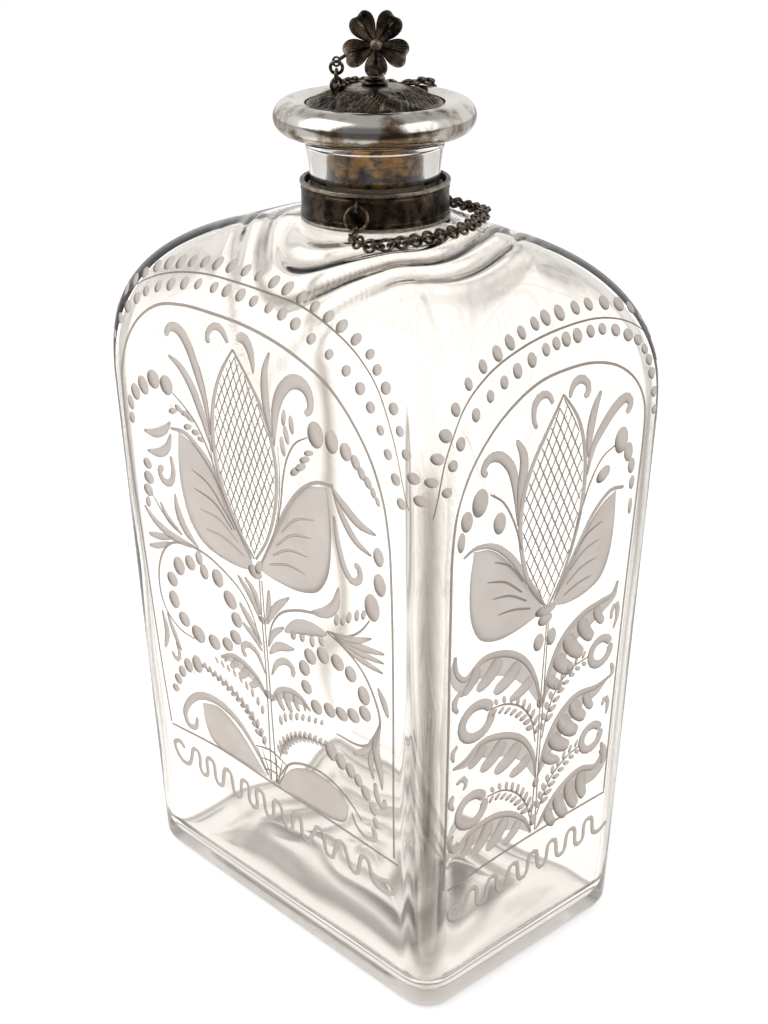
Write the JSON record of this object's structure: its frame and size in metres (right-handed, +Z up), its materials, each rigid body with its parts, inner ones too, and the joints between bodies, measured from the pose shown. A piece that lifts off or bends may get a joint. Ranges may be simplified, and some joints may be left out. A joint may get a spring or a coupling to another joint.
{
  "type": "glass decanter",
  "caption": "Rectangular case decanter of clear glass with floral wheel engraving, a silver neck collar, and a domed silver stopper with a flower finial held by a chain.",
  "frame": {"origin": "middle of the base, on the surface that the bottle stands on", "axes": "+Z up, -Y out of one wide face, +X out of one narrow face"},
  "size_m": [0.117, 0.079, 0.226],
  "materials": {
    "glass": "clear, blown, matte wheel engraving on the faces",
    "plaster": "dry bedding plaster",
    "tarnished_silver": "silver with dark tarnish",
    "polished_silver": "worn polished silver with brown patina",
    "worn_gilding": "worn gilding with dark specks"
  },
  "bodies": {
    "bottle_body": {"bottle": "glass", "collar_bedding": "plaster", "neck_collar": "tarnished_silver", "collar_staple": "tarnished_silver"},
    "front_run": {"jump_ring": "tarnished_silver", "front_link_01": "tarnished_silver", "front_link_02": "tarnished_silver", "front_link_03": "tarnished_silver", "front_link_04": "tarnished_silver", "front_link_05": "tarnished_silver", "front_link_06": "tarnished_silver", "front_link_07": "tarnished_silver"},
    "shoulder_run": {"shoulder_link_01": "tarnished_silver", "shoulder_link_02": "tarnished_silver", "shoulder_link_03": "tarnished_silver", "shoulder_link_04": "tarnished_silver", "shoulder_link_05": "tarnished_silver", "shoulder_link_06": "tarnished_silver", "shoulder_link_07": "tarnished_silver", "shoulder_link_08": "tarnished_silver", "shoulder_link_09": "tarnished_silver", "shoulder_link_10": "tarnished_silver", "shoulder_link_11": "tarnished_silver", "shoulder_link_12": "tarnished_silver", "shoulder_link_13": "tarnished_silver", "shoulder_link_14": "tarnished_silver", "shoulder_link_15": "tarnished_silver", "shoulder_link_16": "tarnished_silver", "shoulder_link_17": "tarnished_silver", "shoulder_link_18": "tarnished_silver", "shoulder_link_19": "tarnished_silver", "shoulder_link_20": "tarnished_silver", "shoulder_link_21": "tarnished_silver", "shoulder_link_22": "tarnished_silver", "shoulder_link_23": "tarnished_silver", "shoulder_link_24": "tarnished_silver", "shoulder_link_25": "tarnished_silver", "shoulder_link_26": "tarnished_silver", "shoulder_link_27": "tarnished_silver", "shoulder_link_28": "tarnished_silver", "shoulder_link_29": "tarnished_silver", "shoulder_link_30": "tarnished_silver", "shoulder_link_31": "tarnished_silver", "shoulder_link_32": "tarnished_silver", "shoulder_link_33": "tarnished_silver", "shoulder_link_34": "tarnished_silver"},
    "stopper": {"rim_roll": "polished_silver", "stopper_dome": "tarnished_silver", "plug_sleeve": "worn_gilding", "plug_step": "worn_gilding", "plug_disc": "worn_gilding", "finial_stem": "polished_silver", "finial_nut": "polished_silver", "flower": "polished_silver", "flower_bead": "polished_silver", "petal_lug": "tarnished_silver", "chain_top_run": "tarnished_silver"},
    "back_run": {"chain_back_run": "tarnished_silver"}
  },
  "joints": [
    {"name": "stopper_lift", "type": "slide", "parent": "bottle_body", "child": "stopper", "axis": [0, 0, 1], "range_m": [0, 0.014]},
    {"name": "ring_swing", "type": "hinge", "parent": "bottle_body", "child": "front_run", "pos_m": [0.01033, -0.01498, 0.1867], "axis": [0.8231, 0.5678, 0], "range_deg": [-2.1, 0]},
    {"name": "chain_sweep", "type": "hinge", "parent": "front_run", "child": "shoulder_run", "pos_m": [0.02157, -0.01816, 0.18066], "axis": [0.8689, 0.4949, 0], "range_deg": [0, 18.2]},
    {"name": "chain_back_swing", "type": "hinge", "parent": "stopper", "child": "back_run", "pos_m": [-0.00557, 0.02411, 0.20287], "axis": [0.8689, 0.4949, 0], "range_deg": [-4, 0]}
  ],
  "couplings": [
    {"joint": "ring_swing", "follows": "stopper_lift", "rad_per_m": -2.4933},
    {"joint": "chain_sweep", "follows": "stopper_lift", "rad_per_m": 22.531},
    {"joint": "chain_back_swing", "follows": "stopper_lift", "rad_per_m": -4.9168}
  ]
}
